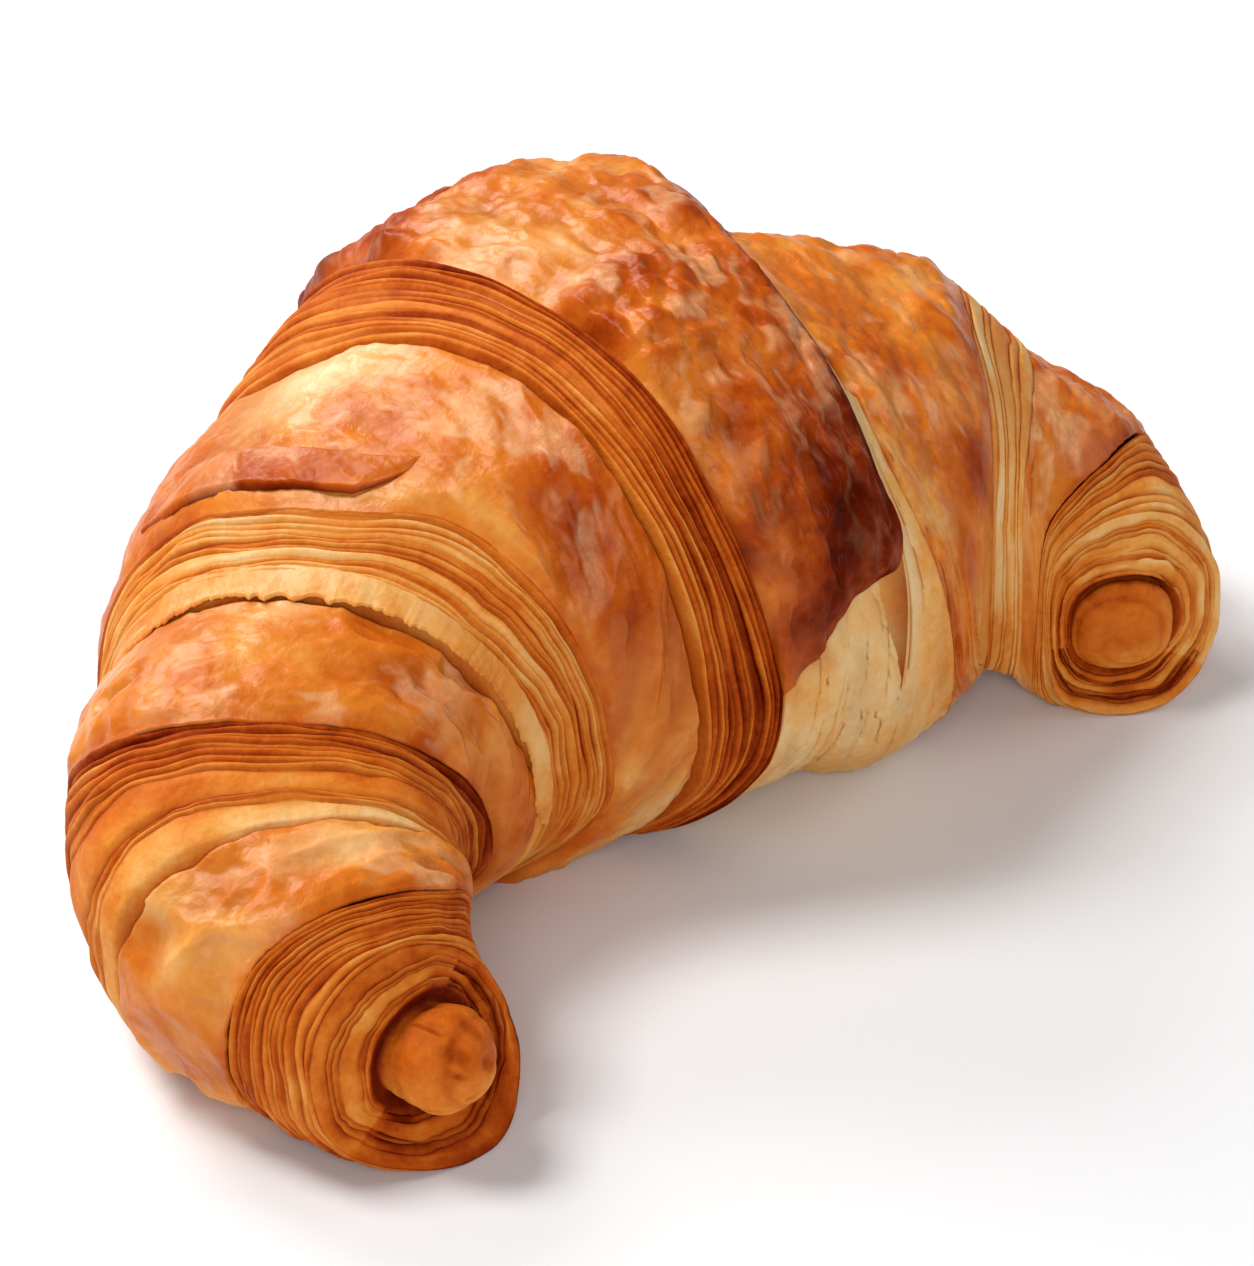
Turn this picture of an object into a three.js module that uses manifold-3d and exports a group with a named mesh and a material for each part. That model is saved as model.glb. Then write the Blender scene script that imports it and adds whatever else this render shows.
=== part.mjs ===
// A croissant: one piece of laminated dough, rolled up, bent into a crescent and baked.
// Millimetres, +Z up. It lies on its flat underside at z = 0, the open side of the crescent faces -Y,
// and the origin is the middle of its footprint.
import * as THREE from 'three';
import { ParametricGeometry } from 'three/addons/geometries/ParametricGeometry.js';
import { mergeVertices } from 'three/addons/utils/BufferGeometryUtils.js';
import Module from 'manifold-3d';

// The middle wrap, the last of the dough to be rolled up, is the thickest stretch of the roll.
const middleRadius = 39.2;
const middleSwell = 1.6;

// The roll's cross-section is a little squarer than an ellipse, lower than it is wide, and sits with its
// underside pressed flat by its own weight.
const heightPerWidth = 0.869;
const squareness = 2.25;
const sinkPerRadius = 0.092;

// Each arm steps down to its tip in wraps, listed from the middle outwards. A wrap starts at the edge of
// the one before it:
//   edge  width of the layered edge that shows all the sheets of dough
//   step  how far the radius drops across that edge
//   skin  width of the glazed skin between that edge and the next
//   taper how far the radius drops along the skin
//   swell how far the skin stands proud between its two ends
// The edges run round the roll aslant: each leans outwards by lean on the side of the roll that
// leanSide points to, in degrees from the outer side of the crescent over the top.
// An arm turns by turn degrees over its length, slowly at first, and by curl more over the last curlLength.
// Round the station strayAt it strays from that curve, by bow to the outer side and by arch upwards.
// Its tip rests as high as a roll of radius tipSeat would.
const leftArm = {
  firstEdge: 3,
  wraps: [
    { edge: 9, step: 3.8, skin: 17.5, taper: 5, swell: 1.4, lean: 5, leanSide: 60 },
    { edge: 11, step: 5, skin: 12, taper: 2.8, swell: 0.9, lean: 5.5, leanSide: 55 },
    { edge: 19, step: 3.6, skin: 9.5, taper: 1.8, swell: 0.7, lean: 5, leanSide: 105 },
    { edge: 8.5, step: 2.4, skin: 3.5, taper: 1.3, swell: 0.3, lean: 2, leanSide: 100 },
  ],
  turn: 118,
  turnPower: 1.44,
  curl: 0,
  curlLength: 20,
  strayAt: 63,
  strayReach: 16,
  bow: 2.4,
  arch: 0,
  tipSeat: 15.8,
  coreRise: 3.9,
};
const rightArm = {
  firstEdge: 25,
  wraps: [
    { edge: 9.5, step: 5.4, skin: 20.5, taper: 7, swell: 0.8, lean: 5, leanSide: 170 },
    { edge: 8.5, step: 5.6, skin: 7, taper: 3.6, swell: 0.4, lean: 3.5, leanSide: 170 },
    { edge: 3, step: 2.4, skin: 2.2, taper: 1.6, swell: 0.2, lean: 1, leanSide: 150 },
  ],
  turn: 61,
  turnPower: 1.24,
  curl: 62,
  curlLength: 25,
  strayAt: 55,
  strayReach: 13,
  bow: 2.2,
  arch: 2.2,
  tipSeat: 15.5,
  coreRise: 1.7,
};

// Each tip ends in the swirl of the roll: an outer ring, a groove and the rounded core of the roll.
const tipRingThickness = 4.6;
const tipRingRounding = 2.6;
const tipRingSwell = 0.9;
const tipGrooveWidth = 1.4;
const tipGrooveDepth = 1.6;
const tipCoreSwell = 1.3;

// The inner side of an arm is pressed into a crease where the arm curls tighter than it is thick.
const creaseShare = 0.86;
const creaseSoftness = 4;

// How finely the surface is divided.
const columnsPerSkin = 6;
const columnsPerEdge = 4;
const columnsInMiddle = 10;
const columnsPerTipRing = 3;
const rowsAround = 44;
const centreLineSteps = 600;

const crustColour = 0xc4702a;
const crustRoughness = 0.45;

const wasm = await Module();
wasm.setup();

// The rings of one arm, from its first edge to its tip: how far out along the arm, the radius, and the
// columns and the swell of the stretch that follows.
function armRings(arm) {
  const rings = [];
  let station = arm.firstEdge;
  let radius = middleRadius;
  for (const wrap of arm.wraps) {
    const slant = { lean: wrap.lean, leanSide: THREE.MathUtils.degToRad(wrap.leanSide) };
    rings.push({ station, radius, ...slant, columns: columnsPerEdge, swell: 0 });
    station += wrap.edge;
    radius -= wrap.step;
    rings.push({ station, radius, ...slant, columns: columnsPerSkin, swell: wrap.swell });
    station += wrap.skin;
    radius -= wrap.taper;
  }
  return rings.concat(tipRings(station, radius, arm.coreRise));
}

// The swirl at a tip, from the outer ring in to the middle of the core.
function tipRings(station, radius, coreRise) {
  const grooveRadius = radius - tipRingThickness;
  const coreRadius = grooveRadius - tipGrooveWidth;
  const ring = { lean: 0, leanSide: 0, columns: columnsPerTipRing, swell: 0 };
  return [
    { ...ring, station, radius, swell: tipRingSwell },
    { ...ring, station: station + tipRingRounding, radius: radius - tipRingRounding },
    { ...ring, station: station + tipRingRounding - tipGrooveDepth, radius: grooveRadius },
    { ...ring, station: station + tipRingRounding, radius: coreRadius, swell: tipCoreSwell },
    { ...ring, station: station + tipRingRounding + coreRise, radius: 0 },
  ];
}

// All the rings from the left tip to the right one, with the left arm's stations counted downwards.
function allRings() {
  const left = armRings(leftArm);
  const right = armRings(rightArm);
  const mirrored = left.map((ring, i) => ({
    ...ring,
    station: -ring.station,
    lean: -ring.lean,
    columns: i > 0 ? left[i - 1].columns : columnsInMiddle,
    swell: i > 0 ? left[i - 1].swell : middleSwell,
  }));
  return mirrored.reverse().concat(right);
}

const rings = allRings();
const leftLength = -rings[0].station;
const rightLength = rings[rings.length - 1].station;

// The way the centre line points at a station, turning towards -Y on both arms.
function heading(station) {
  const arm = station < 0 ? leftArm : rightArm;
  const length = station < 0 ? leftLength : rightLength;
  const share = Math.abs(station) / length;
  const curled = Math.max(0, (Math.abs(station) - length + arm.curlLength) / arm.curlLength);
  const turned = arm.turn * share ** arm.turnPower + arm.curl * curled ** 1.6;
  return Math.sign(station) * THREE.MathUtils.degToRad(turned);
}

// Points of the centre line at even steps from the left tip to the right one.
function centreLine() {
  const step = (leftLength + rightLength) / centreLineSteps;
  const points = [new THREE.Vector2(0, 0)];
  for (let i = 0; i < centreLineSteps; i++) {
    const angle = heading(-leftLength + (i + 0.5) * step);
    const last = points[i];
    points.push(new THREE.Vector2(last.x + step * Math.cos(angle), last.y - step * Math.sin(angle)));
  }
  return points;
}

const line = centreLine();

// The centre line's point, heading and tightness of bend at a station.
function centreAt(station) {
  const along = ((station + leftLength) / (leftLength + rightLength)) * centreLineSteps;
  const i = THREE.MathUtils.clamp(Math.floor(along), 0, centreLineSteps - 1);
  const point = line[i].clone().lerp(line[i + 1], along - i);
  const bend = heading(station + 0.5) - heading(station - 0.5);
  return { point, angle: heading(station), bend: Math.max(bend, 1e-6) };
}

// The columns of the surface: which stretch between two rings each one lies on, and how far along it.
const columns = [];
for (let i = 0; i + 1 < rings.length; i++) {
  for (let k = 0; k < rings[i].columns; k++) {
    columns.push({ from: rings[i], to: rings[i + 1], share: k / rings[i].columns });
  }
}
columns.push({ from: rings[rings.length - 2], to: rings[rings.length - 1], share: 1 });

function ringStation(ring, around) {
  return ring.station + ring.lean * Math.cos(around - ring.leanSide);
}

// A radius along the arms with no steps in it, on which the height of the centre line rests.
function restRadius(station) {
  const last = rings.length - 1;
  const right = rings.findIndex((ring) => ring.station > station);
  const to = right < 0 ? last : Math.max(1, right);
  const low = rings[to - 1];
  const high = rings[to];
  const share = THREE.MathUtils.clamp((station - low.station) / (high.station - low.station), 0, 1);
  return THREE.MathUtils.lerp(low.radius, high.radius, share);
}

// A coordinate of the superellipse that the cross-section follows.
function squared(value) {
  return Math.sign(value) * Math.abs(value) ** (2 / squareness);
}

function surface(u, v, target) {
  const column = columns[Math.round(u * (columns.length - 1))];
  const around = -v * 2 * Math.PI;
  const start = ringStation(column.from, around);
  const end = ringStation(column.to, around);
  const station = THREE.MathUtils.lerp(start, end, column.share);
  const swell = column.from.swell * 4 * column.share * (1 - column.share);
  const radius = THREE.MathUtils.lerp(column.from.radius, column.to.radius, column.share) + swell;
  const { point, angle, bend } = centreAt(station);
  let across = radius * squared(Math.cos(around));
  if (across < 0) {
    const room = creaseShare / bend;
    across = -((Math.abs(across) ** -creaseSoftness + room ** -creaseSoftness) ** (-1 / creaseSoftness));
  }
  const arm = station < 0 ? leftArm : rightArm;
  const stray = Math.exp(-(((Math.abs(station) - arm.strayAt) / arm.strayReach) ** 2));
  across += arm.bow * stray;
  const seat = Math.max(restRadius(station), arm.tipSeat);
  const centreHeight = seat * (heightPerWidth - sinkPerRadius) + arm.arch * stray;
  const up = radius * heightPerWidth * squared(Math.sin(around));
  target.set(point.x + across * Math.sin(angle), point.y + across * Math.cos(angle), centreHeight + up);
}

// A closed geometry as a solid for cutting.
function solidOf(geometry) {
  const bare = geometry.clone();
  bare.deleteAttribute('normal');
  bare.deleteAttribute('uv');
  const merged = mergeVertices(bare, 1e-4);
  const index = merged.index.array;
  const triVerts = [];
  for (let i = 0; i < index.length; i += 3) {
    const [a, b, c] = [index[i], index[i + 1], index[i + 2]];
    if (a !== b && b !== c && c !== a) triVerts.push(a, b, c);
  }
  const vertProperties = new Float32Array(merged.attributes.position.array);
  return new wasm.Manifold(new wasm.Mesh({ numProp: 3, vertProperties, triVerts: new Uint32Array(triVerts) }));
}

function geometryOf(solid) {
  const { numProp, vertProperties, triVerts } = solid.getMesh();
  const geometry = new THREE.BufferGeometry();
  const positions = new Float32Array((vertProperties.length / numProp) * 3);
  for (let i = 0; i < positions.length / 3; i++) {
    positions.set(vertProperties.subarray(i * numProp, i * numProp + 3), i * 3);
  }
  geometry.setAttribute('position', new THREE.BufferAttribute(positions, 3));
  geometry.setIndex(new THREE.BufferAttribute(triVerts, 1));
  geometry.computeVertexNormals();
  return geometry;
}

// The roll with what would lie below the tray cut away.
function croissantGeometry() {
  const roll = solidOf(new ParametricGeometry(surface, columns.length - 1, rowsAround));
  const traySize = 4 * (leftLength + rightLength);
  const below = new THREE.BoxGeometry(traySize, traySize, middleRadius);
  below.translate(0, 0, -middleRadius / 2);
  const geometry = geometryOf(roll.subtract(solidOf(below)));
  geometry.computeBoundingBox();
  const middle = geometry.boundingBox.getCenter(new THREE.Vector3());
  geometry.translate(-middle.x, -middle.y, 0);
  return geometry;
}

const crust = new THREE.MeshStandardMaterial({ color: crustColour, roughness: crustRoughness, metalness: 0 });
const croissant = new THREE.Mesh(croissantGeometry(), crust);
croissant.name = 'croissant';

const part = new THREE.Group();
part.add(croissant);
export default part;
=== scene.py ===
import bpy
import numpy as np
from mathutils import Matrix, Vector


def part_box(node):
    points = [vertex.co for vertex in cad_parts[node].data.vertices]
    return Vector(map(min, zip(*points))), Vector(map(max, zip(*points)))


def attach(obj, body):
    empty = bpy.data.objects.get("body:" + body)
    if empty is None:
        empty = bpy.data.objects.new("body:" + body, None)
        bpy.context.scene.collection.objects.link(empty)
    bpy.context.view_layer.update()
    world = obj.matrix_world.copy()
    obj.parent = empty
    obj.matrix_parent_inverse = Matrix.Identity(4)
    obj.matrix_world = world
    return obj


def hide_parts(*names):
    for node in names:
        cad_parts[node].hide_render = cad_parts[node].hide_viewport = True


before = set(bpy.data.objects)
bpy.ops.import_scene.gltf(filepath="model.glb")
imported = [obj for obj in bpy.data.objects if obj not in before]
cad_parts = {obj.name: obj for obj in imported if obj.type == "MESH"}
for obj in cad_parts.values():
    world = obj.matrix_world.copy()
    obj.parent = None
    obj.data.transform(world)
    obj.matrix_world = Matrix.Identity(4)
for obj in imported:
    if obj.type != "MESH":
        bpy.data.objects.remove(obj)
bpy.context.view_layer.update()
print("frame loaded")

mm = 0.001
cadLow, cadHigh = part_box("croissant")

# The bent roll that every piece of crust lies on, in millimetres. Stations run along its centre line from the
# middle, minus on the left arm. An arm turns over its length and strays a little from that round one station,
# by bow to the outer side and by arch upwards.
roll = {
    "heightPerWidth": 0.869,
    "squareness": 2.25,
    "sinkPerRadius": 0.092,
    "creaseShare": 0.86,
    "creaseSoftness": 4,
    "curlPower": 1.6,
    "span": (-112, 98),
    "steps": 1400,
    "left": {"length": 94, "turn": 108.5, "power": 1.44, "curl": 0, "curlLength": 20,
             "strayAt": 63, "reach": 16, "bow": 2.4, "arch": 0},
    "right": {"length": 79, "turn": 60, "power": 1.24, "curl": 62, "curlLength": 24,
              "strayAt": 55, "reach": 13, "bow": 2.2, "arch": 2.2},
    # how thick the roll is at a station, which sets the height of its centre line
    "radii": [(-89, 15.8), (-80, 17.7), (-72, 19.2), (-62, 22), (-52, 24.2), (-42, 25.3), (-30, 30.9),
              (-20, 34.1), (-10, 37.6), (0, 40.5), (10, 40.9), (22, 39.5), (32, 33.2), (44, 30.7), (55, 27),
              (62, 21.7), (69, 18.8), (75, 15.5)],
}

# Where the edges of the wraps run: angle round the roll (0 outer side, 90 top, 180 inner side) and distance
# from the middle along the arm. The last point joins up with the first under the roll.
edges = {
    "l1crest": [(-90, 7), (0, 7), (60, 6.6), (90, 5), (112, 4), (155, 2), (175, -1), (190, -4.5),
                (215, -3)],
    "l1foot": [(-90, 17), (0, 19), (57, 18), (73, 14.3), (96, 11.7), (140, 12), (172, 9.5), (196, 7.3),
               (215, 6)],
    "l2crest": [(-90, 34), (45, 34.6), (96, 33.2), (108, 30.8), (134, 30), (162, 27.2), (181, 23.8),
                (204, 20)],
    "l2foot": [(-90, 43), (31, 43), (96, 42), (134, 42.2), (165, 40.5), (179, 38.5), (207, 37), (230, 37)],
    "l3crest": [(-90, 53), (5, 53), (37, 56.6), (69, 59), (110, 61), (146, 58.5), (169, 52.4), (191, 46),
                (212, 42)],
    "l3foot": [(-90, 70.5), (43, 70.5), (80, 71.3), (108, 72.8), (138, 74.6), (170, 73), (200, 72)],
    "l4crest": [(-90, 80), (6, 81), (56, 81.6), (90, 83.2), (124, 85), (168, 80), (200, 79)],
    "leftRim": [(-45, 90), (0, 88), (45, 87.4), (90, 88), (135, 90.8), (180, 95.8), (225, 98.4), (255, 98.8),
                (285, 95)],
    "tail": [(-90, 22), (30, 23), (70, 24.6), (106, 24), (123, 26.5), (145, 30.5), (160, 34.2), (164, 33),
             (169, 28), (175, 22), (178, 17.8), (182, 12.8), (186, 9), (189, 4.5), (192, 0)],
    "r1crest": [(-90, 22), (30, 23), (70, 24.6), (106, 24), (123, 26.5), (145, 30.5), (163, 34)],
    "r1foot": [(-90, 30), (70, 27), (106, 28), (127, 32), (145, 35.5), (163, 41.5), (182, 47), (208, 49),
               (235, 45)],
    "r2crest": [(-90, 53), (59, 54), (91, 54.5), (134, 57.2), (184, 58.5), (210, 58)],
    "r2foot": [(-90, 60), (75, 61), (105, 63.2), (130, 66), (165, 68), (200, 68)],
    "r3crest": [(-90, 67.5), (39, 68.6), (74, 70), (91, 71.2), (113, 72.8), (148, 74), (180, 74)],
    "rightRim": [(-45, 77.6), (0, 76), (45, 74.8), (90, 74.4), (135, 75), (180, 77), (225, 79.6),
                 (270, 80.2)],
}

# how far out each edge line lies from the centre line
lineRadius = {
    "l1crest": 38.8, "l1foot": 35.7, "l2crest": 30.3, "l2foot": 25.5, "l3crest": 22.2, "l3foot": 19.2,
    "l4crest": 16.9, "r1crest": 38.0, "r1foot": 33.7, "r2crest": 26.0, "r2foot": 21.4, "r3crest": 17.4,
}

# and where it lies closer in or further out than that: (angle, change)
lineTrim = {
    "l1crest": [(-90, 0), (20, 0), (60, -0.7), (95, -0.5), (115, 0), (180, 0), (205, 1.2), (240, 1.2),
                (269, 0)],
    "l1foot": [(-90, 0), (0, -1), (35, -2.4), (62, -2.6), (90, -1.0), (120, 0), (180, 0), (205, 1.2),
               (269, 0)],
    "l2crest": [(-90, 0), (0, -1), (40, -2.2), (70, -1.6), (100, -0.4), (130, 0), (180, 0), (200, 0.8),
                (269, 0)],
    "l2foot": [(-90, 0), (0, -1), (40, -1.6), (70, -0.8), (100, 0), (269, 0)],
    "l3crest": [(-90, 0), (-40, 0.8), (20, 1.3), (60, 0.4), (90, 0), (269, 0)],
    "l3foot": [(-90, 0), (-40, 0.4), (30, 1.2), (70, 0), (165, 0), (190, -2.2), (230, -1.8), (269, 0)],
    "l4crest": [(-90, -0.6), (-40, -1.2), (10, -0.8), (60, 0), (150, 0), (180, -3.4), (215, -3.0), (250, 0),
                (269, -0.6)],
    "r1crest": [(-90, 0), (170, 0), (200, -1.5), (240, -1.5), (269, 0)],
    "r1foot": [(-90, 0), (30, -0.8), (90, -0.6), (120, 0), (170, 0), (198, -3.0), (240, -3.0), (269, 0)],
    "r2crest": [(-90, 0), (30, -1), (90, -0.9), (120, 0), (165, 0), (195, -3.2), (240, -3.2), (269, 0)],
    "r2foot": [(-90, 0), (30, -1), (90, -0.9), (120, 0), (165, 0), (195, -2.4), (240, -2.4), (269, 0)],
}

# how far out the rim of each swirl lies: (angle, radius)
rimRadius = {
    "left": [(0, 13.4), (90, 13.2), (135, 11.6), (180, 10.2), (225, 12), (260, 13.8), (315, 14.2),
             (360, 13.4)],
    "right": [(0, 13.4), (60, 13.4), (120, 12.4), (180, 12.4), (205, 13.2), (270, 13.6), (315, 13.6),
              (360, 13.4)],
}


def softStep(value, low, high):
    share = np.clip((value - low) / (high - low), 0, 1)
    return share * share * (3 - 2 * share)


def mix(low, high, share):
    return low + (high - low) * share


# 0 at both ends of a stretch and 1 half way along it
def archOver(share):
    return 4 * share * (1 - share)


# smooth noise between -1 and 1 from a seeded block of random values
noiseSize = 64
noiseMask = noiseSize - 1
noiseBlock = np.random.default_rng(11).uniform(-1, 1, (noiseSize, noiseSize, noiseSize))


def softNoise(x, y, z):
    x, y, z = np.broadcast_arrays(x, y, z)
    base = [np.floor(c).astype(int) for c in (x, y, z)]
    part = [c - b for c, b in zip((x, y, z), base)]
    part = [p * p * (3 - 2 * p) for p in part]
    total = 0
    for i in (0, 1):
        for j in (0, 1):
            for k in (0, 1):
                weight = ((part[0] if i else 1 - part[0]) * (part[1] if j else 1 - part[1])
                          * (part[2] if k else 1 - part[2]))
                corner = [(b + step) & noiseMask for b, step in zip(base, (i, j, k))]
                total = total + weight * noiseBlock[tuple(corner)]
    return total


# softNoise with finer octaves laid over it, each half as strong and slid aside so that no lattice shows
def cloud(x, y, z, octaves=3):
    total = 0
    for k in range(octaves):
        total = total + softNoise(x * 2 ** k + 9 * k, y * 2 ** k + 5 * k, z * 2 ** k + 3 * k) / 2 ** k
    return total / 1.5


# round bumps scattered over a surface, 0 to 1, about size millimetres apart
def bumps(x, y, size, seed, spread=0.55):
    u, v = x / size, y / size
    baseU, baseV = np.floor(u).astype(int), np.floor(v).astype(int)
    nearest = np.full(u.shape, 9.0)
    for i in (-1, 0, 1):
        for j in (-1, 0, 1):
            cellU, cellV = baseU + i, baseV + j
            offU, offV, wider = [noiseBlock[cellU & noiseMask, cellV & noiseMask, seed + k] for k in range(3)]
            reach = spread + 0.25 * wider
            distance = np.hypot(u - cellU - (offU * 0.5 + 0.5), v - cellV - (offV * 0.5 + 0.5))
            nearest = np.minimum(nearest, distance / reach)
    return np.clip(1 - nearest ** 2, 0, 1)


# how far an arm has turned, in degrees, at a distance out along it
def armTurn(arm, out):
    curled = np.clip((out - arm["length"] + arm["curlLength"]) / arm["curlLength"], 0, None)
    return arm["turn"] * (out / arm["length"]) ** arm["power"] + arm["curl"] * curled ** roll["curlPower"]


def headingAt(station):
    out = np.abs(station)
    return np.radians(np.where(station < 0, -armTurn(roll["left"], out), armTurn(roll["right"], out)))


# centre line of the roll, walked in small steps and laid so that station 0 is at 0, 0
stations = np.linspace(*roll["span"], roll["steps"] + 1)
stepLength = stations[1] - stations[0]
middles = headingAt(stations[:-1] + stepLength / 2)
lineX = np.concatenate([[0], np.cumsum(np.cos(middles) * stepLength)])
lineY = np.concatenate([[0], np.cumsum(-np.sin(middles) * stepLength)])
lineX = lineX - np.interp(0, stations, lineX)
lineY = lineY - np.interp(0, stations, lineY)
bends = np.maximum(np.gradient(headingAt(stations), stepLength), 1e-6)
radiusStations, radiusValues = (np.array(c, float) for c in zip(*roll["radii"]))


def squared(value):
    return np.sign(value) * np.abs(value) ** (2 / roll["squareness"])


# how far an arm strays at a station, one way: "bow" or "arch"
def strayAt(station, way):
    left, right = [arm[way] * np.exp(-((np.abs(station) - arm["strayAt"]) / arm["reach"]) ** 2)
                   for arm in (roll["left"], roll["right"])]
    return np.where(station < 0, left, right)


# a point on the roll: station along it, angle round it in degrees, and distance from the centre line
def place(station, around, radius):
    turn = np.radians(around)
    across = radius * squared(np.cos(turn))
    room = roll["creaseShare"] / np.interp(station, stations, bends)
    soft = roll["creaseSoftness"]
    inner = -(np.maximum(np.abs(across), 1e-3) ** -soft + room ** -soft) ** (-1 / soft)
    across = np.where(across < 0, inner, across) + strayAt(station, "bow")
    angle = headingAt(station)
    seat = np.interp(station, radiusStations, radiusValues) * (roll["heightPerWidth"] - roll["sinkPerRadius"])
    x = np.interp(station, stations, lineX) + across * np.sin(angle)
    y = np.interp(station, stations, lineY) + across * np.cos(angle)
    z = seat + radius * roll["heightPerWidth"] * squared(np.sin(turn)) + strayAt(station, "arch")
    return np.stack([x, y, np.maximum(z, 0)], -1)


# the smooth line of an edge round the roll; left edges come out as negative stations
def edgeAt(name, around):
    points = edges[name]
    angles = np.array([p[0] for p in points] + [points[0][0] + 360], float)
    values = np.array([p[1] for p in points] + [points[0][1]], float)
    wide = np.concatenate([angles[:-1] - 360, angles, angles[1:] + 360])
    tall = np.concatenate([values[:-1], values, values[1:]])
    slope = np.gradient(tall, wide)
    at = np.clip(np.searchsorted(wide, around, side="right") - 1, 0, len(wide) - 2)
    gap = wide[at + 1] - wide[at]
    t = (around - wide[at]) / gap
    smooth = (tall[at] * (1 + 2 * t) * (1 - t) ** 2 + slope[at] * gap * t * (1 - t) ** 2
              + tall[at + 1] * t * t * (3 - 2 * t) - slope[at + 1] * gap * t * t * (1 - t))
    return -smooth if name.startswith("l") else smooth


# how much further out than its plain radius an edge line lies, at an angle round the roll
def trimAt(name, around):
    if name not in lineTrim:
        return np.zeros(np.shape(around))
    return np.interp(around, *zip(*lineTrim[name]), period=360)


pieces = []


# names a piece, stores how it is baked, its painted crease shade, its glaze and its painted sheen, and shades
# it smooth
def finishPiece(piece, name, surface, material):
    piece.name = name
    piece.data.name = name
    for key, values in surface.items():
        layer = piece.data.attributes.new(key, "FLOAT", "POINT")
        layer.data.foreach_set("value", np.clip(values, 0, 1).astype(np.float32).ravel())
    bpy.ops.object.shade_smooth()
    piece.data.materials.append(material)
    pieces.append(piece)


def addNode(tree, kind, inputs=None, **settings):
    node = tree.nodes.new(kind)
    for key, value in settings.items():
        setattr(node, key, value)
    for key, value in (inputs or {}).items():
        node.inputs[key].default_value = value
    return node


def mathNode(tree, operation, a, b, clamp=False):
    node = addNode(tree, "ShaderNodeMath", operation=operation, use_clamp=clamp)
    for slot, value in enumerate((a, b)):
        if isinstance(value, (int, float)):
            node.inputs[slot].default_value = value
        else:
            tree.links.new(value, node.inputs[slot])
    return node.outputs[0]


def noiseNode(tree, vector, scale, detail=3, distortion=0.0):
    node = addNode(tree, "ShaderNodeTexNoise", {"Scale": scale, "Detail": detail, "Distortion": distortion})
    tree.links.new(vector, node.inputs["Vector"])
    return node.outputs["Fac"]


# the glazed skins and the layered edges share one node tree with these settings
glazedSkin = {
    "mottle": 0.34, "mottleScale": 190, "fine": 0.12, "fineScale": 900,
    "roughLow": 0.26, "roughHigh": 0.5, "bumpFine": 0.6, "bumpSmall": 0.6, "coat": 0.1, "coatRough": 0.2,
}
layeredDough = {
    "mottle": 0.26, "mottleScale": 240, "fine": 0.16, "fineScale": 1300,
    "roughLow": 0.5, "roughHigh": 0.72, "bumpFine": 0.6, "bumpSmall": 0.5, "coat": 0.0, "coatRough": 0.3,
}
crust = {
    # how it browns, from raw-looking dough to nearly burnt
    "browning": [(0.0, (0.80, 0.54, 0.25)), (0.13, (0.79, 0.42, 0.13)), (0.25, (0.76, 0.30, 0.05)),
                 (0.38, (0.68, 0.19, 0.014)), (0.51, (0.57, 0.115, 0.004)), (0.64, (0.40, 0.055, 0.001)),
                 (0.79, (0.19, 0.016, 0.0005)), (1.0, (0.05, 0.004, 0.0005))],
    "patches": 0.3, "creaseShadeTint": (0.42, 0.20, 0.10, 1),
    # painted sheen: the colour and grain of a painted highlight
    "bloomColour": (0.87, 0.52, 0.25, 1), "bloomGrain": 1.1, "shineFrom": 1.25, "coatIor": 1.4,
    # depths of the bumps, in metres
    "smallDepth": 0.0006, "fineDepth": 0.00015,
    # the darker the crust, the less it reflects
    "reflect": 0.44, "reflectLoss": 0.52, "reflectTint": (1, 0.86, 0.7, 1),
}


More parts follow.
